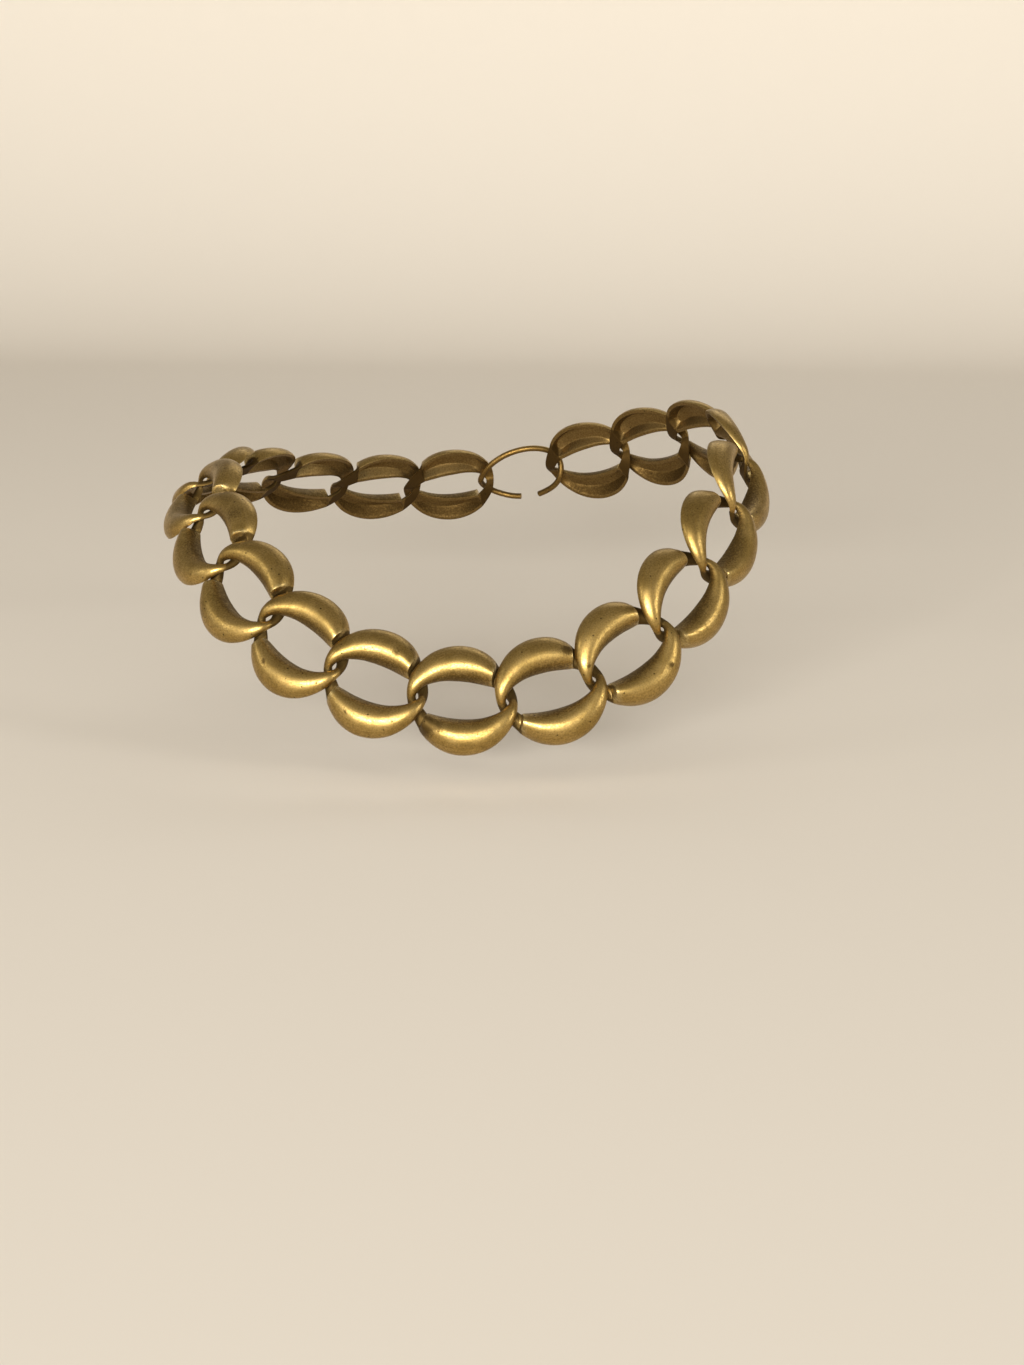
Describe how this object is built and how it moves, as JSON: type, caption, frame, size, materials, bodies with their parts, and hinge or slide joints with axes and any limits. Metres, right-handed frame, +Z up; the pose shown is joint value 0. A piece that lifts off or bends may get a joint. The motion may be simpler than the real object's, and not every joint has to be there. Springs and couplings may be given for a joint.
{
  "type": "collar choker necklace",
  "caption": "Chunky collar choker of puffed, hollow-backed curb links in satin antique gold, kept in its worn ring and closed at the nape by a plain wire hook.",
  "frame": {"origin": "centre of the neck hollow, where the collar sits round the neck", "axes": "+Z up along the neck, the wearer's front faces -Y, +X is the wearer's left"},
  "size_m": [0.1538, 0.1361, 0.0691],
  "materials": {
    "satin_gold_links": "satin antique gold plate, brushed by hand, with dark tarnish in the recesses",
    "wire_hook": "drawn wire, satin antique gold plate"
  },
  "bodies": {
    "root": {"link_01": "satin_gold_links", "link_02": "satin_gold_links", "link_03": "satin_gold_links", "link_04": "satin_gold_links", "link_05": "satin_gold_links", "link_06": "satin_gold_links", "link_07": "satin_gold_links", "link_08": "satin_gold_links", "link_09": "satin_gold_links", "link_10": "satin_gold_links", "link_11": "satin_gold_links", "link_12": "satin_gold_links", "link_13": "satin_gold_links", "link_14": "satin_gold_links", "link_15": "satin_gold_links", "link_16": "satin_gold_links", "link_17": "satin_gold_links", "link_18": "satin_gold_links", "link_19": "satin_gold_links", "link_20": "satin_gold_links", "hook_clasp": "wire_hook"}
  },
  "joints": []
}
